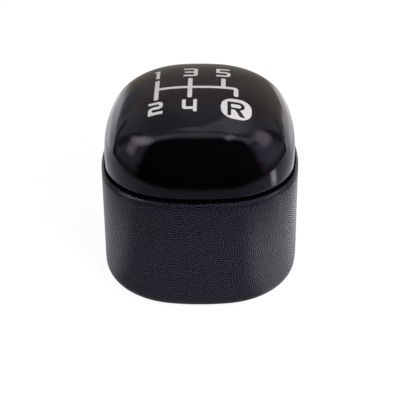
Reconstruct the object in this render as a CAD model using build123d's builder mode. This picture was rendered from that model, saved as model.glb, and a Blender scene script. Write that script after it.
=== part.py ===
from build123d import *
import os
from math import cos, radians, sin

# Gear shift knob: a gloss crown cap clipped on a grip core that is wrapped in grained skin.
# Millimetres. +Z runs up the gear lever, +Y towards the front of the car and +X to the right.
# The origin lies on the lever's axis, in the plane that the knob stands on.

# Plan of the knob, a square with bulged sides and round corners
knob_width = 52.0
knob_depth = 54.0
side_bulge = 4.5
corner_share = 0.79

# Heights of the grip and of the crown above it
grip_height = 33.0
crown_height = 20.0

# The crown's section is a superellipse of this power, squarer than an ellipse
crown_power = 2.6
crown_sections = 10

# Skin wrapped round the core and tucked in at both ends
skin_thickness = 1.4
glue_line = 0.1
base_hem = 5.0
hem_gap = 0.3

# Core, an open-topped cup with a boss for the lever socket
core_wall = 2.6
core_top_edge = 0.6
core_base_edge = 3.0
floor_thickness = 3.6
foot_recess = 0.4
boss_wall = 3.2
boss_foot_height = 3.0
rib_count = 8
rib_thickness = 2.0
rib_drop = 6.0
rib_root = 0.5

# Crown cap, with a straight skirt at its foot
cap_step = 0.95
cap_wall = 2.4
cap_skirt = 0.6
cap_rim_radius = 0.5

# Snap legs of the cap and their windows in the core
leg_width = 8.0
leg_thickness = 1.8
leg_foot = 0.6
leg_clearance = 0.4
barb_reach = 1.2
barb_height = 2.4
barb_land = 0.6
barb_drop = 3.6
window_side_gap = 0.5
window_top_gap = 0.1
window_foot_gap = 0.4

# Lever socket, a flanged bush closed at its top
lever_diameter = 12.0
lever_depth = 25.0
lever_lead_in = 1.0
socket_wall = 3.0
socket_fit = 0.05
socket_end = 3.0
socket_edge = 1.0
flange_drop = 2.0
flange_width = 3.0
flange_thickness = 2.4
key_width = 4.0
key_height = 1.6
key_gap = 0.1

# Retaining ring, a flat spring circlip below the boss
ring_thickness = 1.2
ring_recess = 1.4
ring_band = 1.8
ring_mouth = 5.0
groove_depth = 0.5
groove_gap = 0.05
lug_radius = 1.5
lug_hole_radius = 0.8
pocket_gap = 0.4
pocket_wall = 2.4

# Levels and radii that follow from the sizes above
half_width = knob_width / 2
half_depth = knob_depth / 2
corner_radius = corner_share * half_width
crown_foot = grip_height + cap_skirt
core_inset = skin_thickness + glue_line
cavity_inset = core_inset + core_wall
hem_inset = core_inset + core_base_edge + base_hem
leg_inset = cavity_inset + leg_clearance
core_top = grip_height - core_inset
floor_top = foot_recess + floor_thickness
socket_top = foot_recess + lever_depth + socket_end
boss_top = socket_top - flange_drop - flange_thickness
rib_top = boss_top - rib_drop
socket_radius = lever_diameter / 2 + socket_wall
boss_bore = socket_radius + socket_fit
boss_radius = boss_bore + boss_wall
flange_radius = socket_radius + flange_width
groove_radius = socket_radius - groove_depth
ring_inner = groove_radius + groove_gap
ring_outer = ring_inner + ring_band
lug_centre = ring_outer
pocket_radius = lug_centre + lug_radius + pocket_gap
pocket_depth = ring_recess + ring_thickness
ring_base = foot_recess + ring_recess
boss_foot_radius = pocket_radius + pocket_wall
barb_top = grip_height - barb_drop
barb_base = barb_top - barb_height
leg_base = barb_base - leg_foot


def knob_outline(inset):
    """The knob's plan as a face, stepped in by inset all round.

    Each side is an arc, so the plan is what four discs share, with its corners rounded.
    """
    with BuildSketch() as outline:
        for turn in (0, 90, 180, 270):
            half, chord = (half_width, half_depth) if turn in (0, 180) else (half_depth, half_width)
            arc = ((chord - side_bulge) ** 2 + side_bulge**2) / (2 * side_bulge)
            with Locations(Rotation(0, 0, turn) * Pos(half - arc) * Rotation(0, 0, 180)):
                Circle(arc - inset, mode=Mode.INTERSECT if turn else Mode.ADD)
        fillet(outline.vertices(), corner_radius - inset)
    return outline.sketch


def grip_block(inset):
    """The grip's solid envelope, stepped in by inset on every side and rounded to suit."""
    step_out = core_inset - inset
    with BuildPart() as block:
        with BuildSketch(Plane.XY.offset(inset)):
            add(knob_outline(inset))
        extrude(amount=grip_height - 2 * inset)
        fillet(block.edges().group_by(Axis.Z)[0], core_base_edge + step_out)
        fillet(block.edges().group_by(Axis.Z)[-1], core_top_edge + step_out)
    return block.part


def crown_pillow(inset):
    """The crown's solid pillow on its skirt, stepped in by inset from the cap's outside."""
    rise = crown_height - cap_skirt - inset
    with BuildPart() as pillow:
        with BuildSketch(Plane.XY.offset(grip_height)):
            add(knob_outline(cap_step + inset))
        extrude(amount=cap_skirt)
        for step in range(crown_sections):
            turn = radians(90 * step / crown_sections)
            level = crown_foot + rise * sin(turn) ** (2 / crown_power)
            with BuildSketch(Plane.XY.offset(level)):
                add(knob_outline(cap_step + inset))
                scale(by=cos(turn) ** (2 / crown_power))
        loft(sections=[*pillow.pending_faces, Vertex(0, 0, crown_foot + rise)])
    return pillow.part


def leg_feet():
    """Footprints of the four snap legs, one at the middle of each side."""
    reach_x = half_width - leg_inset - leg_thickness / 2
    reach_y = half_depth - leg_inset - leg_thickness / 2
    with BuildSketch() as feet:
        with Locations((reach_x, 0), (-reach_x, 0)):
            Rectangle(leg_thickness, leg_width)
        with Locations((0, reach_y), (0, -reach_y)):
            Rectangle(leg_width, leg_thickness)
    return feet.sketch


# Crown cap: a thin pillow shell whose legs grow out of its inside
with BuildPart() as cap_hollow:
    add(crown_pillow(cap_wall))
    with BuildSketch(Plane.XY.offset(grip_height)):
        add(leg_feet())
    extrude(amount=crown_height, mode=Mode.SUBTRACT)

with BuildPart() as top_cap:
    add(crown_pillow(0))
    fillet(top_cap.faces().sort_by(Axis.Z)[0].edges(), cap_rim_radius)
    add(cap_hollow.part, mode=Mode.SUBTRACT)
    with BuildSketch(Plane.XY.offset(grip_height)):
        add(leg_feet())
    extrude(amount=leg_base - grip_height)
    # Each barb is a wedge with a flat catch on top and a lead-in slope below
    for side, half in ((Plane.XZ, half_width), (Plane.YZ, half_depth)):
        for turned in (1, -1):
            face = turned * (half - leg_inset)
            tip = face + turned * barb_reach
            root = face - turned * leg_thickness / 2
            with BuildSketch(side):
                Polygon(
                    (root, barb_top),
                    (tip, barb_top),
                    (tip, barb_top - barb_land),
                    (face, barb_base),
                    (root, barb_base),
                    align=None,
                )
            extrude(amount=leg_width / 2, both=True)
top_cap.part.label = "top_cap"

# Grip skin: a closed sleeve with a hem turned in over the core's rim and under its base
with BuildPart() as grip_skin:
    add(grip_block(0))
    add(grip_block(skin_thickness), mode=Mode.SUBTRACT)
    with BuildSketch(Plane.XY.offset(grip_height)):
        add(knob_outline(cavity_inset))
    extrude(amount=-2 * skin_thickness, mode=Mode.SUBTRACT)
    with BuildSketch():
        add(knob_outline(hem_inset))
    extrude(amount=2 * skin_thickness, mode=Mode.SUBTRACT)
grip_skin.part.label = "grip_skin"

# Grip core: a cup with a floor pad inside the hem, a boss for the socket and ribs to its wall
with BuildPart() as grip_core:
    add(grip_block(core_inset))
    with BuildSketch(Plane.XY.offset(foot_recess)):
        add(knob_outline(hem_inset + hem_gap))
    extrude(amount=floor_thickness)
    with BuildSketch(Plane.XY.offset(floor_top)):
        add(knob_outline(cavity_inset))
    extrude(amount=core_top - floor_top, mode=Mode.SUBTRACT)
    with BuildSketch(Plane.XY.offset(floor_top)):
        for rib in range(rib_count):
            with Locations(Rotation(0, 0, 360 * rib / rib_count)):
                Rectangle(knob_width + knob_depth, rib_thickness, align=(Align.MIN, Align.CENTER))
        add(knob_outline(cavity_inset - rib_root), mode=Mode.INTERSECT)
    extrude(amount=rib_top - floor_top)
    with BuildSketch(Plane.XY.offset(floor_top)):
        Circle(boss_foot_radius)
    extrude(amount=boss_foot_height)
    with BuildSketch(Plane.XY.offset(floor_top)):
        Circle(boss_radius)
    extrude(amount=boss_top - floor_top)
    # Keys on the boss stop the socket turning
    with BuildSketch(Plane.XY.offset(boss_top)):
        with Locations((flange_radius, 0), (-flange_radius, 0)):
            Rectangle(2 * (flange_radius - boss_bore), key_width)
        Circle(boss_radius, mode=Mode.INTERSECT)
        Circle(boss_bore, mode=Mode.SUBTRACT)
    extrude(amount=key_height)
    # Bore for the socket, and the pocket below it for the retaining ring
    with BuildSketch(Plane.XY.offset(foot_recess)):
        Circle(boss_bore)
    extrude(amount=boss_top - foot_recess, mode=Mode.SUBTRACT)
    with BuildSketch(Plane.XY.offset(foot_recess)):
        Circle(pocket_radius)
    extrude(amount=pocket_depth, mode=Mode.SUBTRACT)
    # Windows through the wall that the cap's barbs catch in
    window_base = barb_base - window_foot_gap
    window_height = barb_height + window_foot_gap + window_top_gap
    with BuildSketch(Plane.XY.offset(window_base)):
        Rectangle(knob_width, leg_width + 2 * window_side_gap)
        Rectangle(leg_width + 2 * window_side_gap, knob_depth)
        Circle(boss_foot_radius, mode=Mode.SUBTRACT)
    extrude(amount=window_height, mode=Mode.SUBTRACT)
grip_core.part.label = "grip_core"

# Lever socket: a bush that hangs on the boss by its flange
with BuildPart() as lever_socket:
    with BuildSketch(Plane.XY.offset(foot_recess)):
        Circle(socket_radius)
    extrude(amount=socket_top - foot_recess)
    fillet(lever_socket.edges().group_by(Axis.Z)[-1], socket_edge)
    with BuildSketch(Plane.XY.offset(boss_top)):
        Circle(flange_radius)
        with Locations((flange_radius, 0), (-flange_radius, 0)):
            Rectangle(2 * flange_width, key_width + 2 * key_gap, mode=Mode.SUBTRACT)
    extrude(amount=flange_thickness)
    with BuildSketch(Plane.XY.offset(foot_recess)):
        Circle(lever_diameter / 2)
    extrude(amount=lever_depth, mode=Mode.SUBTRACT)
    with BuildSketch(Plane.XY.offset(ring_base - groove_gap)):
        Circle(socket_radius)
        Circle(groove_radius, mode=Mode.SUBTRACT)
    extrude(amount=ring_thickness + 2 * groove_gap, mode=Mode.SUBTRACT)
    mouth = lever_socket.faces().sort_by(Axis.Z)[0].edges().sort_by(SortBy.RADIUS)[0]
    chamfer(mouth, lever_lead_in)
lever_socket.part.label = "lever_socket"

# Retaining ring: an open band with a drilled lug each side of its mouth
with BuildPart() as retaining_ring:
    lug_side = ring_mouth / 2 + lug_radius
    lug_back = (lug_centre**2 - lug_side**2) ** 0.5
    with BuildSketch(Plane.XY.offset(ring_base)):
        Circle(ring_outer)
        with Locations((lug_side, -lug_back), (-lug_side, -lug_back)):
            Circle(lug_radius)
        Circle(ring_inner, mode=Mode.SUBTRACT)
        with Locations((0, -lug_back)):
            Rectangle(ring_mouth, 2 * lug_back, align=(Align.CENTER, Align.CENTER), mode=Mode.SUBTRACT)
        with Locations((lug_side, -lug_back), (-lug_side, -lug_back)):
            Circle(lug_hole_radius, mode=Mode.SUBTRACT)
    extrude(amount=ring_thickness)
retaining_ring.part.label = "retaining_ring"

os.makedirs("parts", exist_ok=True)
export_step(top_cap.part, "parts/top_cap.step")
export_step(grip_skin.part, "parts/grip_skin.step")
export_step(grip_core.part, "parts/grip_core.step")
export_step(lever_socket.part, "parts/lever_socket.step")
export_step(retaining_ring.part, "parts/retaining_ring.step")
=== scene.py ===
from math import atan2, copysign, cos, hypot, pi, radians, sin, sqrt, tan
from typing import NamedTuple

import bmesh
import bpy
from bpy.props import FloatProperty, FloatVectorProperty, PointerProperty
from mathutils import Matrix, Vector
from mathutils.geometry import intersect_sphere_sphere_2d, tessellate_polygon


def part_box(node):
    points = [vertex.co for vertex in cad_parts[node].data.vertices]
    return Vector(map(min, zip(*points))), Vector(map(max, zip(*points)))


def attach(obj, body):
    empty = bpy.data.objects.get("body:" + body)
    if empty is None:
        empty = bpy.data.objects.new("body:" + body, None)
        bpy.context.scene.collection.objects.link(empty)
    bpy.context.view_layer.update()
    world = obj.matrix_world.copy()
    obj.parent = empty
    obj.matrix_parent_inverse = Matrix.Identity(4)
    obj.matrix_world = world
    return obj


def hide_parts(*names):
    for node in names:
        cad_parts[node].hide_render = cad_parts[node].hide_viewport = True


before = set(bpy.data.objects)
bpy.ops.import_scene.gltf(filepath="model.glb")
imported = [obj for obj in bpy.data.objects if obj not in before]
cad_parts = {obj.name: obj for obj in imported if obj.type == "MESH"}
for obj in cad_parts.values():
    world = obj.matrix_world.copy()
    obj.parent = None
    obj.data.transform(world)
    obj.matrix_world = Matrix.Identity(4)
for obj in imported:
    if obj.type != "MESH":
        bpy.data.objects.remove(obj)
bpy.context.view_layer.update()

bl_info = {
    "name": "Gear shift knob",
    "version": (1, 0, 0),
    "blender": (4, 5, 0),
    "location": "3D View > Sidebar > Gear Knob",
    "description": "Dresses the gear shift knob: gloss cap, printed gate, grained skin and a studio stage",
    "category": "Add Mesh",
}

MM = 0.001
TINY = 1e-9
# Side of the picture and the camera's focal length, in pixels.
IMAGE_SIDE = 400
FOCAL_LENGTH = 1264.13
# Steps along the three arcs of a quarter of the plan: side, corner and end.
ARC_STEPS = (14, 36, 12)
# Edges sharper than this, in degrees, stay sharp.
SHARP_EDGE = 40
# Most of a noise texture's values lie between these two.
NOISE_SPAN = (0.3, 0.7)
# The grain's ridges rise between these two values of their texture, near its middle, so they are steep.
RIDGE_FLANK = (0.44, 0.56)
# What a ridge adds to the unshaded skin's share, and the sums at which it is all in painted groove shade and
# all unshaded.
RIDGE_SHARE = 0.5
GROOVE_SHADE_SPAN = (0.7, 0.95)
# How sharply an arched patch of light drops at its two ends.
ARCH_POWER = 2.5
SKIN_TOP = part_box("grip_skin")[1]
CAP_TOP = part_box("top_cap")[1]


def size(name, description, millimetres):
    """A length that the sidebar shows in the scene's units."""
    return FloatProperty(
        name=name, description=description, default=millimetres * MM, unit="LENGTH", precision=5
    )


def amount(name, description, value):
    """A plain number."""
    return FloatProperty(name=name, description=description, default=value, precision=3)


def angle(name, description, degrees):
    """An angle that the sidebar shows in degrees."""
    return FloatProperty(name=name, description=description, default=radians(degrees), subtype="ANGLE")


def colour(name, description, value):
    """A linear colour."""
    return FloatVectorProperty(
        name=name, description=description, default=value, subtype="COLOR", size=3, min=0.0, max=1.0
    )


class KnobShape(bpy.types.PropertyGroup):
    """Sizes of the cap and the skin, as the solids have them but for the edges along the groove."""

    half_width: size("Half width", "From the lever's axis to the right side", SKIN_TOP.x / MM)
    half_depth: size("Half depth", "From the lever's axis to the front side", SKIN_TOP.y / MM)
    grip_height: size("Grip height", "Top of the skin, where the cap sits", SKIN_TOP.z / MM)
    crown_top: size("Crown top", "Highest point of the cap", CAP_TOP.z / MM)
    cap_step: size("Cap step", "How far the cap stands back from the skin", (SKIN_TOP.x - CAP_TOP.x) / MM)
    side_bulge: size("Side bulge", "How far each side bows out", 4.5)
    corner_share: amount("Corner share", "Corner radius as a share of the half width", 0.79)
    crown_power: amount("Crown power", "Power of the crown's superellipse", 2.6)
    cap_skirt: size("Cap skirt", "Straight band at the crown's foot", 0.6)
    cap_wall: size("Cap wall", "Thickness of the cap", 2.4)
    rim_tuck: size("Rim tuck", "How far the cap's lower edge turns in", 0.3)
    rim_rise: size("Rim rise", "Height over which the cap's lower edge turns in", 0.35)
    leg_width: size("Leg width", "Width of a snap leg", 8.0)
    leg_thickness: size("Leg thickness", "Thickness of a snap leg", 1.8)
    leg_inset: size("Leg inset", "From the skin's outside to a leg's outer face", 4.5)
    leg_top: size("Leg top", "Height at which a leg ends inside the cap's wall", 45.0)
    leg_base: size("Leg base", "Lower end of a leg", 26.4)
    barb_top: size("Barb top", "Catching face of a barb", 29.4)
    barb_land: size("Barb land", "Straight face below the catch", 0.6)
    barb_height: size("Barb height", "Height of a barb with its lead-in", 2.4)
    barb_reach: size("Barb reach", "How far a barb stands out", 1.2)
    base_edge: size("Base edge", "Rounding of the skin at the base", 4.5)
    top_edge: size("Top edge", "Rounding of the skin at the top", 2.1)
    top_roll: size("Top roll", "Height over which the skin rounds at the top", 1.9)
    # The next two place painted shade on the skin's top edge, in the groove that the cap shades.
    groove_shade_line: size("Dye line", "How far in the skin's top edge is half dyed", 0.62)
    groove_shade_fade: size("Dye fade", "Width over which the dye comes in", 0.8)
    groove_depth: size("Groove depth", "How far the skin's rolled edge lies below the cap", 0.65)
    groove_floor: size("Groove floor", "Width of the groove's level floor", 0.3)
    groove_wall: size("Groove wall", "Width over which the skin rises to the cap", 0.2)
    skin_thickness: size("Skin thickness", "Thickness of the skin", 1.4)
    top_hem: size("Top hem", "How far in the skin reaches at the top", 4.1)
    base_hem: size("Base hem", "How far in the skin reaches at the base", 9.5)


class KnobPrint(bpy.types.PropertyGroup):
    """Layout of the printed shift pattern, seen from above."""

    first_column: size("First column", "Place of the gate's first column", -10.78)
    column_pitch: size("Column pitch", "From one column to the next", 8.49)
    reverse_column: size("Reverse column", "Place of the reverse column", 9.4)
    gate_line: size("Gate line", "Place of the line across the gate", -3.2)
    gate_reach: size("Gate reach", "Length of a bar from the line", 5.2)
    reverse_reach: size("Reverse reach", "Length of the reverse bar from the line", 4.0)
    gate_stroke: size("Gate stroke", "Width of the gate's bars", 1.15)
    digit_stroke: size("Digit stroke", "Width of a digit's strokes", 0.92)
    digit_width: size("Digit width", "Width of a digit", 3.7)
    back_row: size("Back row", "Middle of the digits 1, 3 and 5", 6.0)
    back_height: size("Back height", "Height of the digits 1, 3 and 5", 5.5)
    front_row: size("Front row", "Middle of the digits 2 and 4", -11.6)
    front_height: size("Front height", "Height of the digits 2 and 4", 4.6)
    badge_row: size("Badge row", "Middle of the reverse badge", -12.0)
    badge_width: size("Badge width", "Width of the reverse badge", 7.7)
    badge_depth: size("Badge depth", "Depth of the reverse badge", 7.25)
    badge_corner: size("Badge corner", "Corner radius of the badge", 3.1)
    letter_width: size("Letter width", "Width of the letter in the badge", 4.45)
    letter_height: size("Letter height", "Height of the letter in the badge", 5.1)
    letter_drop: size("Letter drop", "How far the letter sits below the badge's middle", 0.2)
    ink_height: size("Ink height", "How far the ink stands on the cap", 0.006)
    ink_root: size("Ink root", "How far the ink goes into the cap", 0.02)
    ink_facet: size("Ink facet", "Longest facet of the ink across or along", 0.5)


class KnobFinish(bpy.types.PropertyGroup):
    """Colours of the knob's materials, and the skin's grain."""

    cap: colour("Cap", "Gloss black moulding", (0.0014, 0.0012, 0.0015))
    cap_sheen: colour("Cap sheen", "Tint of the cap's gloss", (0.9, 0.8, 1.0))
    ink: colour("Ink", "Pale printed ink", (0.86, 0.83, 0.83))
    skin: colour("Skin", "Ridges of the grained skin", (0.04, 0.033, 0.057))
    # Painted shade: the pits' colour stands in partly for shade in the grain's creases, and the same colour
    # darkens the skin's top edge in the groove under the cap.
    pit_and_groove_shade: colour("Skin pore", "Pits and dyed edge of the skin", (0.002, 0.0017, 0.0028))
    grain_scale: amount("Grain scale", "Patches of ridges along a metre of skin", 800.0)
    grain_ridges: amount("Grain ridges", "Ridges in each patch", 2.2)
    grain_order: amount("Grain order", "How far the ridges keep to one direction", 0.35)
    grain_depth: size("Grain depth", "Height of the ridges", 0.12)
    core: colour("Core", "Black moulded core", (0.03, 0.03, 0.031))
    nylon: colour("Nylon", "Natural nylon of the socket", (0.62, 0.6, 0.52))
    steel: colour("Steel", "Phosphated spring steel", (0.3, 0.3, 0.31))


class KnobStage(bpy.types.PropertyGroup):
    """Camera, floor and studio light."""

    elevation: angle("Elevation", "Camera's height angle", 30.711)
    azimuth: angle("Azimuth", "Camera's turn to the right", 1.14)
    roll: angle("Roll", "Camera's turn about its own axis", -0.55)
    distance: size("Distance", "From the camera to the point that it looks at", 342.37)
    aim: size("Aim", "Height of the point that the camera looks at", 17.58)
    aim_side: size("Aim side", "Sideways place of that point", -0.1)
    focal_widths: amount("Focal length", "Focal length in picture widths", FOCAL_LENGTH / IMAGE_SIDE)
    sky_level: amount("Sky level", "The white world's strength as a light", 0.4)
    floor_reach: size("Floor reach", "From the axis to each side of the floor", 1500.0)
    floor_shade: amount("Floor shade", "Share of the floor's white that a shadow can take away", 0.16)
    floor_glow: amount("Floor glow", "The floor's own white to the eye", 0.93)
    tent_radius: size("Tent radius", "Radius of the light tent", 700.0)
    tent_centre: size("Tent centre", "Height of the light tent's middle", 40.0)
    tent_level: amount("Tent level", "The tent's strength as a light", 0.75)
    lamp_azimuth: angle("Lamp azimuth", "Lamp's turn to the right, from straight behind", 148.0)
    lamp_elevation: angle("Lamp elevation", "Lamp's height angle", 36.0)
    lamp_distance: size("Lamp distance", "From the knob to the lamp", 400.0)
    lamp_width: size("Lamp width", "Width of the lamp", 180.0)
    lamp_height: size("Lamp height", "Height of the lamp", 240.0)
    lamp_power: amount("Lamp power", "Power of the lamp in watts", 1.12)
    tray_front: size("Tray front", "From the axis to the tray's wall in front", 112.0)
    tray_widening: size("Tray widening", "How much further the tray reaches behind", 90.0)
    tray_wall: size("Tray wall", "Height of the tray's wall at the front and the sides", 45.0)
    tray_lift: size("Tray lift", "Height of the tray above the floor", 0.3)
    card_near: size("Card near", "From the axis to the back card's near edge", 190.0)
    card_far: size("Card far", "From the axis to the back card's far edge", 690.0)
    card_lift: size("Card lift", "Height of the back card above the floor", 0.2)


class Plan:
    """The knob's plan, a square with bulged sides and round corners.

    Each arc of a quarter is (centre, radius, turn of its last normal).
    """

    def __init__(self, shape):
        bulge = shape.side_bulge
        corner = shape.corner_share * shape.half_width
        side = ((shape.half_depth - bulge) ** 2 + bulge**2) / (2 * bulge)
        end = ((shape.half_width - bulge) ** 2 + bulge**2) / (2 * bulge)
        side_centre = Vector((shape.half_width - side, 0))
        end_centre = Vector((0, shape.half_depth - end))
        meetings = intersect_sphere_sphere_2d(side_centre, side - corner, end_centre, end - corner)
        corner_centre = max(meetings, key=lambda point: point.x + point.y)
        first = corner_centre - side_centre
        last = corner_centre - end_centre
        self.arcs = (
            (side_centre, side, atan2(first.y, first.x)),
            (corner_centre, corner, atan2(last.y, last.x)),
            (end_centre, end, pi / 2),
        )

    def turns(self):
        """Turns of the outline's normals all round."""
        quarter = []
        start = 0
        for (_, _, stop), count in zip(self.arcs, ARC_STEPS):
            quarter += [start + (stop - start) * step / count for step in range(count)]
            start = stop
        half = quarter + [pi / 2] + [pi - turn for turn in reversed(quarter[1:])]
        return half + [pi + turn for turn in half]

    def point(self, turn, inset):
        """The outline's point whose normal has this turn, stepped in by inset."""
        folded = atan2(abs(sin(turn)), abs(cos(turn)))
        centre, radius, _ = next(arc for arc in self.arcs if folded <= arc[2] + TINY)
        x = centre.x + (radius - inset) * cos(folded)
        y = centre.y + (radius - inset) * sin(folded)
        return copysign(x, cos(turn)), copysign(y, sin(turn))

    def reach(self, x, y, inset):
        """Distance from the axis to the outline on the way through a point."""
        heading = Vector((abs(x), abs(y))).normalized()
        for centre, radius, stop in self.arcs:
            along = heading.dot(centre)
            far = along + sqrt(max(along**2 - centre.length_squared + (radius - inset) ** 2, 0))
            hit = heading * far - centre
            if atan2(hit.y, hit.x) <= stop + TINY:
                return far
        raise ValueError("no arc of the plan lies that way")


class Crown:
    """The cap's pillow above its skirt, stepped in by inset."""

    def __init__(self, shape, inset=0.0):
        self.plan = Plan(shape)
        self.inset = shape.cap_step + inset
        self.foot = shape.grip_height + shape.cap_skirt
        self.rise = shape.crown_top - self.foot - inset
        self.power = shape.crown_power

    def ring(self, lift, turns):
        """The section at a lift from 0 at the foot to a quarter turn at the top."""
        scale = cos(lift) ** (2 / self.power)
        level = self.foot + self.rise * sin(lift) ** (2 / self.power)
        outline = [self.plan.point(turn, self.inset) for turn in turns]
        return [(x * scale, y * scale, level) for x, y in outline]

    def level(self, x, y):
        """Height of the pillow above a point of the plan."""
        out = hypot(x, y)
        share = out / self.plan.reach(x, y, self.inset) if out else 0
        return self.foot + self.rise * (1 - share**self.power) ** (1 / self.power)


def arc_points(centre, radius, start, stop, steps, height=None):
    """Points along an arc of a section, angles in degrees, or along an ellipse of another height."""
    height = height or radius
    turns = [radians(start + (stop - start) * step / steps) for step in range(steps + 1)]
    return [(centre[0] + radius * cos(turn), centre[1] + height * sin(turn)) for turn in turns]


def bridge(first, second, count):
    """Quads between two closed rows of points that start at these numbers."""
    return [(first + i, first + (i + 1) % count, second + (i + 1) % count, second + i) for i in range(count)]


def sleeve(rows, count):
    """Quads between each closed row of points and the next, from the first point on."""
    return [face for row in range(rows - 1) for face in bridge(row * count, (row + 1) * count, count)]


def fan(start, count, tip):
    """Triangles from a closed row of points to a tip."""
    return [(start + i, start + (i + 1) % count, tip) for i in range(count)]


def around(radius, azimuth, level):
    """A point at a radius and a level, its azimuth in degrees to the right from straight behind."""
    turn = radians(azimuth)
    return radius * sin(turn), radius * cos(turn), level


def new_mesh(name, points, faces):
    """A mesh from its points and faces."""
    mesh = bpy.data.meshes.new(name)
    mesh.from_pydata(points, [], faces)
    return mesh


def new_object(mesh, material):
    """A scene object with one material, named as its mesh."""
    mesh.materials.append(material)
    thing = bpy.data.objects.new(mesh.name, mesh)
    bpy.context.scene.collection.objects.link(thing)
    return thing


def add_piece(mesh, material, sharp=SHARP_EDGE):
    """A new piece of the knob, its faces turned outwards and smooth but for its sharp edges."""
    work = bmesh.new()
    work.from_mesh(mesh)
    bmesh.ops.recalc_face_normals(work, faces=work.faces)
    work.to_mesh(mesh)
    work.free()
    mesh.polygons.foreach_set("use_smooth", [True] * len(mesh.polygons))
    mesh.set_sharp_from_angle(angle=radians(sharp))
    piece = new_object(mesh, material)
    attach(piece, "root")
    return piece


def new_group(name, inputs, outputs):
    """An empty shader node group with float inputs (name, default) and outputs (name, kind)."""
    group = bpy.data.node_groups.new(name, "ShaderNodeTree")
    for label, default in inputs:
        socket = group.interface.new_socket(name=label, in_out="INPUT", socket_type="NodeSocketFloat")
        socket.default_value = default
    for label, kind in outputs:
        group.interface.new_socket(name=label, in_out="OUTPUT", socket_type=kind)
    return group, group.nodes.new("NodeGroupInput"), group.nodes.new("NodeGroupOutput")


def map_range(tree, value, start, stop):
    """A node that maps a value's range to 0 and 1."""
    node = tree.nodes.new("ShaderNodeMapRange")
    node.inputs["From Min"].default_value = start
    node.inputs["From Max"].default_value = stop
    tree.links.new(value, node.inputs["Value"])
    return node


def mottle_group():
    """Noise over the surface, mapped to a range."""
    group, into, out = new_group(
        "Surface mottle",
        (("Scale", 100.0), ("Detail", 3.0), ("Low", 0.0), ("High", 1.0)),
        (("Value", "NodeSocketFloat"),),
    )
    place = group.nodes.new("ShaderNodeTexCoord")
    noise = group.nodes.new("ShaderNodeTexNoise")
    spread = map_range(group, noise.outputs["Fac"], *NOISE_SPAN)
    join = group.links.new
    join(place.outputs["Object"], noise.inputs["Vector"])
    join(into.outputs["Scale"], noise.inputs["Scale"])
    join(into.outputs["Detail"], noise.inputs["Detail"])
    join(into.outputs["Low"], spread.inputs["To Min"])
    join(into.outputs["High"], spread.inputs["To Max"])
    join(spread.outputs["Result"], out.inputs["Value"])
    return group


def mottle(tree, scale, low, high, detail=3.0):
    """Places the mottle group in a material and returns its value."""
    group = bpy.data.node_groups.get("Surface mottle") or mottle_group()
    node = tree.nodes.new("ShaderNodeGroup")
    node.node_tree = group
    for label, value in (("Scale", scale), ("Detail", detail), ("Low", low), ("High", high)):
        node.inputs[label].default_value = value
    return node.outputs["Value"]


def new_material(name):
    """A material with its node tree and Principled shader."""
    material = bpy.data.materials.new(name)
    material.use_nodes = True
    return material, material.node_tree, material.node_tree.nodes["Principled BSDF"]


def attribute(tree, name):
    """A node that reads what a mesh stores under a name."""
    node = tree.nodes.new("ShaderNodeAttribute")
    node.attribute_name = name
    return node


def tinted(tree, value, colour_low, colour_high):
    """A colour that runs between two colours as a value goes from 0 to 1."""
    mix = tree.nodes.new("ShaderNodeMix")
    mix.data_type = "RGBA"
    mix.inputs["A"].default_value = (*colour_low, 1)
    mix.inputs["B"].default_value = (*colour_high, 1)
    tree.links.new(value, mix.inputs["Factor"])
    return mix.outputs["Result"]


def shade(colour_value, share):
    """A colour made darker or lighter by a share."""
    return tuple(channel * share for channel in colour_value)


def bump(tree, shader, height, strength, distance):
    """Feeds a height to the shader's normal."""
    node = tree.nodes.new("ShaderNodeBump")
    node.inputs["Strength"].default_value = strength
    node.inputs["Distance"].default_value = distance
    tree.links.new(height, node.inputs["Height"])
    tree.links.new(node.outputs["Normal"], shader.inputs["Normal"])


def uneven(tree, shader, tones, tone_scale, rough, rough_scale):
    """Lets a shader's colour and its roughness each wander between two values."""
    tone = tinted(tree, mottle(tree, tone_scale, 0, 1), *tones)
    tree.links.new(tone, shader.inputs["Base Color"])
    tree.links.new(mottle(tree, rough_scale, *rough), shader.inputs["Roughness"])


def gloss_black(finish):
    """Polished black moulding with faint handling marks in its gloss."""
    material, tree, shader = new_material("gloss_black")
    tones = finish.cap, shade(finish.cap, 1.5)
    uneven(tree, shader, tones, tone_scale=60, rough=(0.035, 0.075), rough_scale=140)
    shader.inputs["Specular Tint"].default_value = (*finish.cap_sheen, 1)
    bump(tree, shader, mottle(tree, 220, 0, 1, detail=1.0), strength=0.05, distance=0.02 * MM)
    return material


def print_ink(finish):
    """Pale ink, a little uneven in cover."""
    material, tree, shader = new_material("print_ink")
    tones = shade(finish.ink, 0.9), finish.ink
    uneven(tree, shader, tones, tone_scale=900, rough=(0.4, 0.55), rough_scale=1500)
    return material


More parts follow.
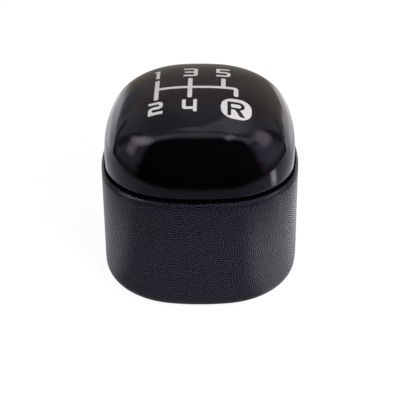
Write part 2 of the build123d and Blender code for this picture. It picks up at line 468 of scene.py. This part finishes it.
def grained_skin(finish):
    """Black skin of short glossy ridges in flowing lines, with dull pits, and painted shade in the pits and
    along the top edge under the cap.
    """
    material, tree, shader = new_material("grained_skin")
    join = tree.links.new
    place = attribute(tree, "grain_place")
    parts = tree.nodes.new("ShaderNodeSeparateXYZ")
    join(place.outputs["Vector"], parts.inputs["Vector"])
    ridge = tree.nodes.new("ShaderNodeTexGabor")
    ridge.gabor_type = "2D"
    ridge.inputs["Scale"].default_value = finish.grain_scale
    ridge.inputs["Frequency"].default_value = finish.grain_ridges
    ridge.inputs["Anisotropy"].default_value = finish.grain_order
    join(place.outputs["Vector"], ridge.inputs["Vector"])
    join(parts.outputs["Z"], ridge.inputs["Orientation"])
    swell = map_range(tree, ridge.outputs["Value"], *RIDGE_FLANK)
    swell.interpolation_type = "SMOOTHSTEP"
    # A ridge adds to the unshaded skin's share, so that its tip is the last to take the painted groove shade.
    kept = tree.nodes.new("ShaderNodeMath")
    kept.operation = "MULTIPLY_ADD"
    kept.inputs[1].default_value = RIDGE_SHARE
    join(swell.outputs["Result"], kept.inputs[0])
    join(attribute(tree, "unshaded_skin").outputs["Fac"], kept.inputs[2])
    crest = map_range(tree, kept.outputs["Value"], *GROOVE_SHADE_SPAN)
    join(swell.outputs["Result"], crest.inputs["To Max"])
    tone = tinted(tree, crest.outputs["Result"], finish.pit_and_groove_shade, finish.skin)
    join(tone, shader.inputs["Base Color"])
    join(mottle(tree, 700, 0.5, 0.65), shader.inputs["Roughness"])
    join(crest.outputs["Result"], shader.inputs["Coat Weight"])
    shader.inputs["Coat Roughness"].default_value = 0.25
    shader.inputs["Coat IOR"].default_value = 1.65
    shader.inputs["Specular IOR Level"].default_value = 0.0
    bump(tree, shader, swell.outputs["Result"], strength=1.0, distance=finish.grain_depth)
    return material


def moulded_plastic(name, base, speckle, rough):
    """Moulded plastic with a spark-eroded texture."""
    material, tree, shader = new_material(name)
    tones = shade(base, 0.85), base
    uneven(tree, shader, tones, tone_scale=speckle / 4, rough=(rough, rough + 0.15), rough_scale=speckle)
    bump(tree, shader, mottle(tree, speckle, 0, 1), strength=0.3, distance=0.03 * MM)
    return material


def spring_steel(finish):
    """Phosphated spring steel, dull grey with a fine crystal tone."""
    material, tree, shader = new_material("spring_steel")
    shader.inputs["Metallic"].default_value = 1.0
    tones = shade(finish.steel, 0.7), finish.steel
    uneven(tree, shader, tones, tone_scale=2500, rough=(0.38, 0.55), rough_scale=1800)
    return material


def soft(depth, edge):
    """0 outside a border and 1 inside it, smooth over its edge."""
    share = min(max(depth / edge + 0.5, 0), 1)
    return share * share * (3 - 2 * share)


class Patch(NamedTuple):
    """A soft patch of the light tent, in degrees: 0 is behind the knob, 90 right, 180 at the camera.

    The patch leans by a share of its height above its lower edge, and its upper edge drops by arch at
    its two ends. On the floor, radii in millimetres stand in place of elevations.
    """

    azimuths: tuple
    elevations: tuple
    edge: float
    tone: tuple
    lean: float = 0.0
    arch: float = 0.0

    def cover(self, azimuth, elevation):
        """1 inside the patch, 0 outside and smooth over its edge."""
        left, right = self.azimuths
        low, high = self.elevations
        left += self.lean * (elevation - low)
        right += self.lean * (elevation - low)
        turn = (azimuth - left + 90) % 360 + left - 90
        middle = (left + right) / 2
        high -= self.arch * min(abs(turn - middle) / (right - middle), 1) ** ARCH_POWER
        inside = soft(min(elevation - low, high - elevation), self.edge)
        return inside * soft(min(turn - left, right - turn), self.edge)


class KNOB_OT_crown_cap(bpy.types.Operator):
    """Builds the gloss cap in place of its solid"""

    bl_idname = "knob.crown_cap"
    bl_label = "Crown cap"

    dome_rings = 64
    hollow_rings = 20
    rim_steps = 10

    def execute(self, context):
        shape = context.scene.knob_shape
        outer = Crown(shape)
        hollow = Crown(shape, shape.cap_wall)
        turns = outer.plan.turns()
        rows = []
        for ring in reversed(range(self.dome_rings)):
            rows.append(outer.ring(pi / 2 * ring / self.dome_rings, turns))
        rows = [row for row in rows if row[0][2] > shape.grip_height + shape.rim_rise]
        for inset, rise in self.rim(shape):
            outline = [outer.plan.point(turn, outer.inset + inset) for turn in turns]
            rows.append([(x, y, shape.grip_height + rise) for x, y in outline])
        for ring in range(self.hollow_rings):
            rows.append(hollow.ring(pi / 2 * ring / self.hollow_rings, turns))
        count = len(turns)
        points = [point for row in rows for point in row]
        faces = sleeve(len(rows), count)
        for start, apex in ((0, shape.crown_top), (len(points) - count, hollow.foot + hollow.rise)):
            faces += fan(start, count, len(points))
            points.append((0, 0, apex))
        self.add_legs(shape, points, faces)
        cap = add_piece(new_mesh("crown_cap", points, faces), gloss_black(context.scene.knob_finish))
        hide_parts("top_cap")
        return {"FINISHED"}

    def rim(self, shape):
        """The lower edge as (inset, rise), turned in below the crown and level to the hollow."""
        turns = [pi / 2 * step / self.rim_steps for step in range(self.rim_steps + 1)]
        edge = [(shape.rim_tuck * (1 - cos(turn)), shape.rim_rise * (1 - sin(turn))) for turn in turns]
        return [*edge, (shape.cap_wall, 0)]

    def add_legs(self, shape, points, faces):
        """Adds the four barbed snap legs inside the cap."""
        barb_foot = shape.barb_top - shape.barb_land
        barb_base = shape.barb_top - shape.barb_height
        for quarter, half in enumerate((shape.half_width, shape.half_depth) * 2):
            face = half - shape.leg_inset
            back = face - shape.leg_thickness
            tip = face + shape.barb_reach
            profile = [
                (back, shape.leg_base),
                (face, shape.leg_base),
                (face, barb_base),
                (tip, barb_foot),
                (tip, shape.barb_top),
                (face, shape.barb_top),
                (face, shape.leg_top),
                (back, shape.leg_top),
            ]
            turn = Matrix.Rotation(quarter * pi / 2, 3, "Z")
            start = len(points)
            for side in (-shape.leg_width / 2, shape.leg_width / 2):
                points += [tuple(turn @ Vector((reach, side, level))) for reach, level in profile]
            count = len(profile)
            faces += bridge(start, start + count, count)
            faces.append(tuple(range(start, start + count)))
            faces.append(tuple(range(start + count, start + 2 * count)))


class KNOB_OT_grip_wrap(bpy.types.Operator):
    """Builds the grained skin in place of its solid"""

    bl_idname = "knob.grip_wrap"
    bl_label = "Grip wrap"

    edge_steps = 16
    wall_steps = 18
    fold_angle = 60
    grain_turns = 3
    grain_start = radians(65)

    def execute(self, context):
        shape = context.scene.knob_shape
        plan = Plan(shape)
        turns = plan.turns()
        profile = self.section(shape)
        count = len(turns)
        points = []
        for inset, level in profile:
            points += [(*plan.point(turn, inset), level) for turn in turns]
        faces = sleeve(len(profile), count) + bridge(len(points) - count, 0, count)
        mesh = new_mesh("grip_wrap", points, faces)
        skin = add_piece(mesh, grained_skin(context.scene.knob_finish), self.fold_angle)
        self.lay_grain(skin.data, plan, turns, profile)
        self.lay_groove_shade(skin.data, shape, profile, count)
        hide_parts("grip_skin")
        return {"FINISHED"}

    def section(self, shape):
        """The closed section as (inset, height), from the base hem up the outside and down the inside."""
        top, base, skin = shape.top_edge, shape.base_edge, shape.skin_thickness
        height = shape.grip_height
        outside = arc_points((base, base), base, 270, 180, self.edge_steps)
        edge = height - shape.groove_depth
        roll = edge - shape.top_roll
        rise = (roll - base) / self.wall_steps
        outside += [(0, base + rise * step) for step in range(1, self.wall_steps)]
        outside += arc_points((top, roll), top, 180, 90, self.edge_steps, shape.top_roll)
        inner = top + shape.groove_floor
        outside += [(inner, edge), (inner + shape.groove_wall, height)]
        inside = arc_points((top, height - top), top - skin, 90, 180, self.edge_steps)
        inside += arc_points((base, base), base - skin, 180, 270, self.edge_steps)
        return [
            (shape.base_hem, 0),
            *outside,
            (shape.top_hem, height),
            (shape.top_hem, height - skin),
            *inside,
            (shape.base_hem, skin),
        ]

    def lay_grain(self, mesh, plan, turns, profile):
        """Stores the place on the unrolled skin and the grain's direction there, for each face's corners."""
        outline = [Vector(plan.point(turn, 0)) for turn in turns]
        along = [0.0]
        for here, after in zip(outline, outline[1:] + outline[:1]):
            along.append(along[-1] + (after - here).length)
        across = [0.0]
        for here, after in zip(profile, profile[1:]):
            across.append(across[-1] + hypot(after[0] - here[0], after[1] - here[1]))
        count = len(turns)
        values = []
        for face in mesh.polygons:
            spots = [divmod(vertex, count) for vertex in face.vertices]
            last = any(column == count - 1 for _, column in spots)
            for row, column in spots:
                run = along[count if last and column == 0 else column]
                values += [run, across[row], self.grain_start + self.grain_turns * pi * run / along[-1]]
        place = mesh.attributes.new("grain_place", "FLOAT_VECTOR", "CORNER")
        place.data.foreach_set("vector", values)

    def lay_groove_shade(self, mesh, shape, profile, count):
        """Stores 1 where the skin is unshaded, and 0 in the groove, where its edge is darkened with painted
        shade.
        """
        values = []
        for inset, level in profile:
            at_top = level > shape.grip_height / 2
            groove_shade = soft(inset - shape.groove_shade_line, shape.groove_shade_fade) if at_top else 0.0
            values += [1 - groove_shade] * count
        unshaded = mesh.attributes.new("unshaded_skin", "FLOAT", "POINT")
        unshaded.data.foreach_set("value", values)


class ShiftPattern:
    """The printed gate, gear numbers and reverse badge.

    Outlines are lists of corners (x, y, radius). The gate's bars butt, so that none overlap.
    """

    corner_steps = 6
    weld = 0.001

    def __init__(self, layout, crown, ink):
        self.layout = layout
        self.crown = crown
        self.ink = ink

    def print_all(self):
        """Prints each part of the pattern as a piece of its own."""
        layout = self.layout
        columns = [layout.first_column + layout.column_pitch * step for step in range(3)]
        self.lay("gate_print", self.gate(columns))
        for step, outline_of in enumerate((self.one, self.two, self.three, self.four, self.five)):
            back = step % 2 == 0
            row = layout.back_row if back else layout.front_row
            height = layout.back_height if back else layout.front_height
            outline = outline_of(layout.digit_width, height, layout.digit_stroke)
            start = Vector((columns[step // 2] - layout.digit_width / 2, row - height / 2))
            self.lay(f"digit_{step + 1}", [[self.rounded(outline, start)]])
        self.lay("reverse_badge", self.badge())

    def box(self, left, right, low, high, radius):
        """A rectangle with one radius at all its corners."""
        return [(left, low, radius), (right, low, radius), (right, high, radius), (left, high, radius)]

    def gate(self, columns):
        """The two whole bars, the line between them, and the bent line with the fifth and reverse bars."""
        layout = self.layout
        half = layout.gate_stroke / 2
        line, reach = layout.gate_line, layout.gate_reach
        end, inner, outer = 0.7 * half, half / 2, 2 * half
        crook = half / 3
        first, third, fifth = columns
        reverse = layout.reverse_column
        drop = line - layout.reverse_reach
        bent = [
            (third + half, line - half, 0),
            (reverse - half, line - half, inner),
            (reverse - half, drop, end),
            (reverse + half, drop, end),
            (reverse + half, line + half, outer),
            (fifth + half, line + half, crook),
            (fifth + half, line + reach, end),
            (fifth - half, line + reach, end),
            (fifth - half, line + half, crook),
            (third + half, line + half, 0),
        ]
        shapes = [self.box(x - half, x + half, line - reach, line + reach, end) for x in (first, third)]
        shapes += [self.box(first + half, third - half, line - half, line + half, 0), bent]
        return [[self.rounded(shape)] for shape in shapes]

    def badge(self):
        """A rounded square with the letter left open in it, and the letter's eye."""
        layout = self.layout
        middle = Vector((layout.reverse_column, layout.badge_row))
        x, y = layout.badge_width / 2, layout.badge_depth / 2
        square = self.box(-x, x, -y, y, layout.badge_corner)
        width, height, stroke = layout.letter_width, layout.letter_height, layout.digit_stroke
        start = middle - Vector((width / 2, height / 2 + layout.letter_drop))
        nick, inner, outer = 0.1 * stroke, 0.12 * height, 0.3 * height
        waist, side = 0.42 * height, 0.98 * width
        leg_top, leg_foot = 0.42 * width, 0.7 * width
        letter = [
            (0, 0, nick),
            (stroke, 0, nick),
            (stroke, waist, nick),
            (leg_top, waist, nick),
            (leg_foot, 0, nick),
            (width, 0, nick),
            (leg_foot, waist, nick),
            (side, waist, outer),
            (side, height, outer),
            (0, height, nick),
        ]
        sill, lintel = waist + 0.8 * stroke, height - stroke
        opening = [
            (stroke, sill, nick),
            (side - stroke, sill, inner),
            (side - stroke, lintel, inner),
            (stroke, lintel, nick),
        ]
        return [
            [self.rounded(square, middle), self.rounded(letter, start)],
            [self.rounded(opening, start)],
        ]

    def one(self, width, height, stroke):
        """Outline of the digit 1: a stem on the column with a small flag."""
        left = (width - stroke) / 2
        right = left + stroke
        nick = 0.15 * stroke
        flag = 0.6 * stroke
        return [
            (left, 0, nick),
            (right, 0, nick),
            (right, height, nick),
            (left - flag, height - 0.1 * stroke, nick),
            (left - flag, height - stroke, nick),
            (left, height - 1.2 * stroke, nick),
        ]

    def two(self, width, height, stroke):
        """Outline of the digit 2."""
        low, high = (height - stroke) / 2, (height + stroke) / 2
        nick, inner, outer = 0.15 * stroke, 0.35 * stroke, 1.3 * stroke
        return [
            (0, 0, nick),
            (width, 0, nick),
            (width, stroke, nick),
            (stroke, stroke, inner),
            (stroke, low, inner),
            (width, low, outer),
            (width, height, outer),
            (0, height, nick),
            (0, height - stroke, nick),
            (width - stroke, height - stroke, inner),
            (width - stroke, high, inner),
            (0, high, outer),
        ]

    def three(self, width, height, stroke):
        """Outline of the digit 3, with a notch between its bowls."""
        middle = height / 2
        low, high = middle - stroke / 2, middle + stroke / 2
        nick, inner, outer = 0.15 * stroke, 0.35 * stroke, 1.1 * stroke
        notch = 0.3 * stroke
        start = 0.3 * stroke
        return [
            (0, 0, nick),
            (width, 0, outer),
            (width, middle - notch, inner),
            (width - notch, middle, nick),
            (width, middle + notch, inner),
            (width, height, outer),
            (0, height, nick),
            (0, height - stroke, nick),
            (width - stroke, height - stroke, inner),
            (width - stroke, high, inner),
            (start, high, nick),
            (start, low, nick),
            (width - stroke, low, inner),
            (width - stroke, stroke, inner),
            (0, stroke, nick),
        ]

    def four(self, width, height, stroke):
        """Outline of the digit 4, open at its top."""
        bar = 0.18 * height
        nick, inner, outer = 0.15 * stroke, 0.3 * stroke, 0.9 * stroke
        return [
            (0, bar, outer),
            (width - stroke, bar, nick),
            (width - stroke, 0, nick),
            (width, 0, nick),
            (width, height, nick),
            (width - stroke, height, nick),
            (width - stroke, bar + stroke, nick),
            (stroke, bar + stroke, inner),
            (stroke, height, nick),
            (0, height, nick),
        ]

    def five(self, width, height, stroke):
        """Outline of the digit 5."""
        low, high = (height - stroke) / 2, (height + stroke) / 2
        nick, inner, outer = 0.15 * stroke, 0.35 * stroke, 1.3 * stroke
        flag = 0.95 * width
        return [
            (0, 0, nick),
            (width, 0, outer),
            (width, high, outer),
            (stroke, high, inner),
            (stroke, height - stroke, inner),
            (flag, height - stroke, nick),
            (flag, height, nick),
            (0, height, nick),
            (0, low, inner),
            (width - stroke, low, inner),
            (width - stroke, stroke, inner),
            (0, stroke, nick),
        ]

    def rounded(self, corners, start=Vector((0, 0))):
        """Points round a closed outline whose corners are (x, y, radius)."""
        points = []
        for number, (x, y, radius) in enumerate(corners):
            here = Vector((x, y))
            if not radius:
                points.append(start + here)
                continue
            back = (Vector(corners[number - 1][:2]) - here).normalized()
            ahead = (Vector(corners[(number + 1) % len(corners)][:2]) - here).normalized()
            half = back.angle(ahead) / 2
            centre = here + (back + ahead).normalized() * radius / sin(half)
            first = here + back * radius / tan(half) - centre
            last = here + ahead * radius / tan(half) - centre
            for step in range(self.corner_steps + 1):
                points.append(start + centre + radius * first.slerp(last, step / self.corner_steps))
        return points

    def cut_facets(self, work, axis, facet):
        """Cuts flat ink across an axis, so that it can follow the crown. Millimetres."""
        places = [vert.co[axis] for vert in work.verts]
        first, last = min(places), max(places)
        cuts = int((last - first) / facet) + 1
        across = Vector((axis == 0, axis == 1, 0))
        for cut in range(1, cuts):
            spot = across * (first + (last - first) * cut / cuts)
            parts = work.verts[:] + work.edges[:] + work.faces[:]
            bmesh.ops.bisect_plane(work, geom=parts, dist=self.weld, plane_co=spot, plane_no=across)

    def lay(self, name, shapes):
        """Lays outlines with their openings on the crown as one thin film of ink."""
        layout = self.layout
        work = bmesh.new()
        for loops in shapes:
            loops = [[point.to_3d() / MM for point in loop] for loop in loops]
            corners = [work.verts.new(point) for loop in loops for point in loop]
            for triangle in tessellate_polygon(loops):
                work.faces.new([corners[index] for index in triangle])
        for axis in (0, 1):
            self.cut_facets(work, axis, layout.ink_facet / MM)
        roots = work.verts[:]
        made = bmesh.ops.extrude_face_region(work, geom=work.faces[:])["geom"]
        film = [part for part in made if isinstance(part, bmesh.types.BMVert)]
        for verts, lift in ((roots, -layout.ink_root), (film, layout.ink_height)):
            for vert in verts:
                x, y = vert.co.x * MM, vert.co.y * MM
                vert.co = (x, y, self.crown.level(x, y) + lift)
        mesh = bpy.data.meshes.new(name)
        work.to_mesh(mesh)
        work.free()
        add_piece(mesh, self.ink)


class KNOB_OT_shift_print(bpy.types.Operator):
    """Prints the gate, the gear numbers and the reverse badge on the cap"""

    bl_idname = "knob.shift_print"
    bl_label = "Shift print"

    def execute(self, context):
        scene = context.scene
        pattern = ShiftPattern(scene.knob_print, Crown(scene.knob_shape), print_ink(scene.knob_finish))
        pattern.print_all()
        return {"FINISHED"}


class KNOB_OT_inner_parts(bpy.types.Operator):
    """Gives the core, the socket and the ring their finishes"""

    bl_idname = "knob.inner_parts"
    bl_label = "Inner parts"

    def execute(self, context):
        finish = context.scene.knob_finish
        finishes = {
            "grip_core": moulded_plastic("moulded_core", finish.core, speckle=2400, rough=0.45),
            "lever_socket": moulded_plastic("natural_nylon", finish.nylon, speckle=1200, rough=0.35),
            "retaining_ring": spring_steel(finish),
        }
        for node, material in finishes.items():
            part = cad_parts[node]
            part.data.materials.clear()
            part.data.materials.append(material)
        return {"FINISHED"}


class KNOB_OT_studio(bpy.types.Operator):
    """Sets the floor, the light tent, the reflected tray and card, the lamp and the camera"""

    bl_idname = "knob.studio"
    bl_label = "Studio"

    white = (1.0, 1.0, 1.0)
    # The tent's plain tone, and its patches, each laid over those before it.
    tent_tone = (0.445, 0.44, 0.45)
    tent_patches = (
        Patch((-38, 48), (-40, 48), 24, (0.35, 0.305, 0.27)),
        Patch((-44, -22), (4, 22), 10, (0.23, 0.23, 0.25)),
        Patch((-115, -20), (50, 84), 20, (0.34, 0.33, 0.36)),
        Patch((30, 135), (56, 88), 24, (1.1, 1.1, 1.1)),
        Patch((110, 250), (80, 92), 5, (1.02, 1.02, 1.03)),
        Patch((-59, -26), (-40, 3), 9, (1.29, 1.26, 1.34)),
        Patch((34, 55), (-40, 0), 8, (1.21, 1.19, 1.26)),
        Patch((60, 297), (-90, 81), 2.5, (0.43, 0.42, 0.45), arch=70),
        Patch((63, 294), (-90, 78.5), 3, (0.37, 0.36, 0.39), arch=70),
        Patch((-73, -61), (-10, 45), 7, (0.13, 0.12, 0.15), lean=-0.45),
        Patch((58, 71), (0, 45), 7, (0.13, 0.12, 0.15), lean=0.42),
        Patch((-74, -67), (-10, 24), 5, (0.12, 0.11, 0.13), lean=0.45),
        Patch((66, 73), (-4, 18), 5, (0.2, 0.19, 0.21), lean=-1.0),
        Patch((100, 262), (40, 78), 4, (0.95, 0.95, 0.96), arch=36),
        Patch((84, 113), (-40, 32), 8, (0.53, 0.53, 0.63)),
        Patch((-106, -92), (8, 34), 11, (1.7, 1.65, 1.6), lean=0.1),
        Patch((-107, -86), (29, 48), 14, (3.1, 3.05, 2.95), lean=-0.8),
        Patch((79, 102), (21, 45), 13, (1.8, 1.75, 1.75)),
        Patch((120, 240), (-90, 69.5), 11, (0.006, 0.005, 0.009), arch=20),
        Patch((124, 150), (60.5, 67.5), 8, (2.4, 2.4, 2.4)),
    )
    # The tent's lowest row and the steps of its rows and of the tray's, in degrees.
    tent_foot = -10
    tent_step = 2
    tray_step = 3
    # The tray's rows, as shares of its radius.
    tray_rows = (0.12, 0.18, 0.25, 0.32, 0.4, 0.5, 0.6, 0.7, 0.8, 0.86, 0.92, 1.0)
    # The azimuths where the tray's wall ends, and the elevation whose light it takes.
    wall_ends = (66, 291)
    wall_view = 2
    # The wall's rows, as shares of its height and of that light.
    wall_rows = ((0.05, 0.15), (0.35, 0.45), (0.6, 0.8), (1.0, 1.0))
    # The tray's tone near the knob, a painted shadow of the knob, how much lighter it is behind, and its tone
    # far behind.
    near_tone = (0.24, 0.235, 0.275)
    near_lift = 0.46
    far_tone = 1.35
    # Where the far tone starts and how soft it is in front, and how much sooner and softer behind.
    far_start = 0.89
    far_edge = 0.12
    far_spread = 0.3
    card_azimuths = (-26, -18, -9, 0, 8, 15, 21)
    card_tone = (0.33, 0.29, 0.26)
    # Patches of the tray, each laid over those before it.
    tray_patches = (
        Patch((-21, 20), (150, 230), 8, (0.36, 0.31, 0.28)),
        Patch((-60, -40), (112, 200), 14, (1.32, 1.29, 1.38)),
        Patch((36, 53), (105, 200), 14, (1.13, 1.11, 1.18)),
        Patch((120, 240), (24, 66), 20, (0.39, 0.36, 0.46)),
        Patch((40, 142), (28, 66), 22, (1.68, 1.63, 1.71)),
        Patch((-118, -40), (28, 66), 22, (1.1, 1.05, 1.2)),
        Patch((97.5, 105.5), (76, 132), 5, (3.3, 3.3, 3.3)),
    )

    def execute(self, context):
        stage = context.scene.knob_stage
        context.scene.view_settings.view_transform = "Standard"
        self.white_world(context.scene, stage)
        self.floor(stage)
        self.tent(stage)
        self.tray(stage)
        self.back_card(stage)
        self.side_lamp(context.scene, stage)
        self.camera(context.scene, stage)
        return {"FINISHED"}

    def seen_plainly(self, tree):
        """1 for camera, glossy and transmission rays, 0 for the rest."""
        path = tree.nodes.new("ShaderNodeLightPath")
        total = path.outputs["Is Camera Ray"]
        for ray in ("Is Glossy Ray", "Is Transmission Ray"):
            most = tree.nodes.new("ShaderNodeMath")
            most.operation = "MAXIMUM"
            tree.links.new(total, most.inputs[0])
            tree.links.new(path.outputs[ray], most.inputs[1])
            total = most.outputs["Value"]
        return total

    def ray_level(self, tree, plain, other):
        """One level for rays that see plainly and another for the rest."""
        level = map_range(tree, self.seen_plainly(tree), 0.0, 1.0)
        level.inputs["To Min"].default_value = other
        level.inputs["To Max"].default_value = plain
        return level.outputs["Result"]

    def white_world(self, scene, stage):
        """A world that is white to the eye and in reflections, and grey as a light."""
        scene.world = bpy.data.worlds.new("white_studio")
        scene.world.use_nodes = True
        tree = scene.world.node_tree
        sky = tree.nodes["Background"]
        sky.inputs["Color"].default_value = (*self.white, 1)
        tree.links.new(self.ray_level(tree, 1.0, stage.sky_level), sky.inputs["Strength"])

    def glowing(self, name, points, faces, tones, other):
        """A stage object that glows in its points' tones, hidden from the camera."""
        material, tree, shader = new_material(name)
        tree.nodes.remove(shader)
        glow = tree.nodes.new("ShaderNodeEmission")
        tree.links.new(attribute(tree, "glow_tone").outputs["Color"], glow.inputs["Color"])
        tree.links.new(self.ray_level(tree, 1.0, other), glow.inputs["Strength"])
        tree.links.new(glow.outputs["Emission"], tree.nodes["Material Output"].inputs["Surface"])
        thing = new_object(new_mesh(name, points, faces), material)
        paint = thing.data.attributes.new("glow_tone", "FLOAT_COLOR", "POINT")
        paint.data.foreach_set("color", [value for colours in tones for value in (*colours, 1)])
        thing.visible_camera = False
        return thing

    def floor(self, stage):
        """A pale floor, white to the eye, that keeps the knob's soft shadow."""
        material, tree, shader = new_material("pale_floor")
        shader.inputs["Base Color"].default_value = (*(stage.floor_shade,) * 3, 1)
        shader.inputs["Roughness"].default_value = 1.0
        shader.inputs["Specular IOR Level"].default_value = 0.0
        shader.inputs["Emission Color"].default_value = (*self.white, 1)
        tree.links.new(self.ray_level(tree, stage.floor_glow, 0.0), shader.inputs["Emission Strength"])
        reach = stage.floor_reach
        corners = [(-reach, -reach, 0), (reach, -reach, 0), (reach, reach, 0), (-reach, reach, 0)]
        return new_object(new_mesh("floor", corners, [(0, 1, 2, 3)]), material)

    def patched(self, tone, patches, azimuth, place):
        """A tone under the patches that cover it."""
        for patch in patches:
            tone = tone.lerp(Vector(patch.tone), patch.cover(azimuth, place))
        return tone

    def tent_light(self, azimuth, elevation):
        """The tent's tone in a direction."""
        return self.patched(Vector(self.tent_tone), self.tent_patches, azimuth, elevation)

    def tent(self, stage):
        """A light tent round the knob."""
        azimuths = range(0, 360, self.tent_step)
        elevations = range(self.tent_foot, 90, self.tent_step)
        points = []
        tones = []
        for elevation in elevations:
            radius = stage.tent_radius * cos(radians(elevation))
            level = stage.tent_centre + stage.tent_radius * sin(radians(elevation))
            for azimuth in azimuths:
                points.append(around(radius, azimuth, level))
                tones.append(self.tent_light(azimuth, elevation))
        count = len(azimuths)
        tip = len(points)
        faces = sleeve(len(elevations), count) + fan(tip - count, count, tip)
        points.append((0, 0, stage.tent_centre + stage.tent_radius))
        tones.append(self.tent_light(0, 90))
        return self.glowing("light_tent", points, faces, tones, stage.tent_level)

    def tray_tone(self, behind, azimuth, radius, share):
        """The floor as the gloss shows it: dim near the knob, with the knob's shadow painted in, dark in
        front and white far behind.
        """
        near = Vector(self.near_tone) + Vector(self.white) * self.near_lift * behind
        far = Vector(self.white) * self.far_tone * behind**2
        spread = self.far_spread * behind**2
        tone = near.lerp(far, soft(share - self.far_start + spread, self.far_edge + spread))
        return self.patched(tone, self.tray_patches, azimuth, radius / MM)

    def tray(self, stage):
        """What the gloss reflects below the tent: a dim floor, walled at the front and the sides."""
        azimuths = range(0, 360, self.tray_step)
        points = []
        tones = []
        for share in self.tray_rows:
            for azimuth in azimuths:
                behind = 0.5 + 0.5 * cos(radians(azimuth))
                radius = share * (stage.tray_front + stage.tray_widening * behind)
                points.append(around(radius, azimuth, stage.tray_lift))
                tones.append(self.tray_tone(behind, azimuth, radius, share))
        count = len(azimuths)
        faces = sleeve(len(self.tray_rows), count)
        first, last = self.wall_ends
        walled = [index for index, azimuth in enumerate(azimuths) if first <= azimuth <= last]
        foot = len(points) - count
        low = [foot + index for index in walled]
        for share, light in self.wall_rows:
            high = range(len(points), len(points) + len(walled))
            for index in walled:
                x, y, _ = points[foot + index]
                points.append((x, y, share * stage.tray_wall))
                tones.append(self.tent_light(azimuths[index], self.wall_view) * light)
            faces += [(low[i], low[i + 1], high[i + 1], high[i]) for i in range(len(walled) - 1)]
            low = high
        return self.reflected("reflected_tray", points, faces, tones)

    def back_card(self, stage):
        """A dim card on the floor behind the tray, pale at its sides, which keeps the cap's far edge dark."""
        points = []
        for radius in (stage.card_near, stage.card_far):
            points += [around(radius, azimuth, stage.card_lift) for azimuth in self.card_azimuths]
        count = len(self.card_azimuths)
        faces = [(i, i + 1, count + i + 1, count + i) for i in range(count - 1)]
        tones = [self.white, *[self.card_tone] * (count - 2), self.white]
        return self.reflected("back_card", points, faces, tones * 2)

    def reflected(self, name, points, faces, tones):
        """A glowing stage object that glossy rays alone can see."""
        thing = self.glowing(name, points, faces, tones, 0.0)
        thing.visible_diffuse = False
        thing.visible_shadow = False
        thing.visible_transmission = False
        return thing

    def side_lamp(self, scene, stage):
        """A soft lamp at the front right that fills the skin and the print."""
        data = bpy.data.lights.new("side_lamp", "AREA")
        data.shape = "RECTANGLE"
        data.size = stage.lamp_width
        data.size_y = stage.lamp_height
        data.energy = stage.lamp_power
        lamp = bpy.data.objects.new("side_lamp", data)
        scene.collection.objects.link(lamp)
        turn, high = stage.lamp_azimuth, stage.lamp_elevation
        way = Vector((cos(high) * sin(turn), cos(high) * cos(turn), sin(high)))
        place = Matrix.Translation(Vector((0, 0, stage.aim)) + way * stage.lamp_distance)
        lamp.matrix_world = place @ way.to_track_quat("Z", "Y").to_matrix().to_4x4()
        lamp.visible_camera = False
        lamp.visible_glossy = False

    def camera(self, scene, stage):
        """A camera at the photograph's viewing angle."""
        data = bpy.data.cameras.new("camera")
        data.lens = stage.focal_widths * data.sensor_width
        camera = bpy.data.objects.new("camera", data)
        scene.collection.objects.link(camera)
        turn = Matrix.Rotation(stage.azimuth, 4, "Z") @ Matrix.Rotation(pi / 2 - stage.elevation, 4, "X")
        back = turn @ Vector((0, 0, stage.distance))
        place = Matrix.Translation(Vector((stage.aim_side, 0, stage.aim)) + back)
        camera.matrix_world = place @ turn @ Matrix.Rotation(stage.roll, 4, "Z")
        scene.camera = camera


class KNOB_PT_sidebar(bpy.types.Panel):
    """Lists the knob's pieces and their sizes"""

    bl_label = "Gear Knob"
    bl_space_type = "VIEW_3D"
    bl_region_type = "UI"
    bl_category = "Gear Knob"

    def draw(self, context):
        for maker in OPERATORS:
            self.layout.operator(maker.bl_idname)
        for name in GROUPS:
            values = getattr(context.scene, name)
            box = self.layout.box()
            for key in values.__annotations__:
                box.prop(values, key)


GROUPS = {
    "knob_shape": KnobShape,
    "knob_print": KnobPrint,
    "knob_finish": KnobFinish,
    "knob_stage": KnobStage,
}
OPERATORS = (
    KNOB_OT_crown_cap,
    KNOB_OT_grip_wrap,
    KNOB_OT_shift_print,
    KNOB_OT_inner_parts,
    KNOB_OT_studio,
)
CLASSES = (*GROUPS.values(), *OPERATORS, KNOB_PT_sidebar)


def register():
    """Makes the classes known and gives the scene its values."""
    for made in CLASSES:
        bpy.utils.register_class(made)
    for name, group in GROUPS.items():
        setattr(bpy.types.Scene, name, PointerProperty(type=group))


def unregister():
    """Takes the values and the classes away again."""
    for name in GROUPS:
        delattr(bpy.types.Scene, name)
    for made in reversed(CLASSES):
        bpy.utils.unregister_class(made)


def main():
    """Dresses the knob and sets the stage."""
    register()
    bpy.ops.knob.crown_cap()
    bpy.ops.knob.grip_wrap()
    bpy.ops.knob.shift_print()
    bpy.ops.knob.inner_parts()
    bpy.ops.knob.studio()


if __name__ == "__main__":
    main()
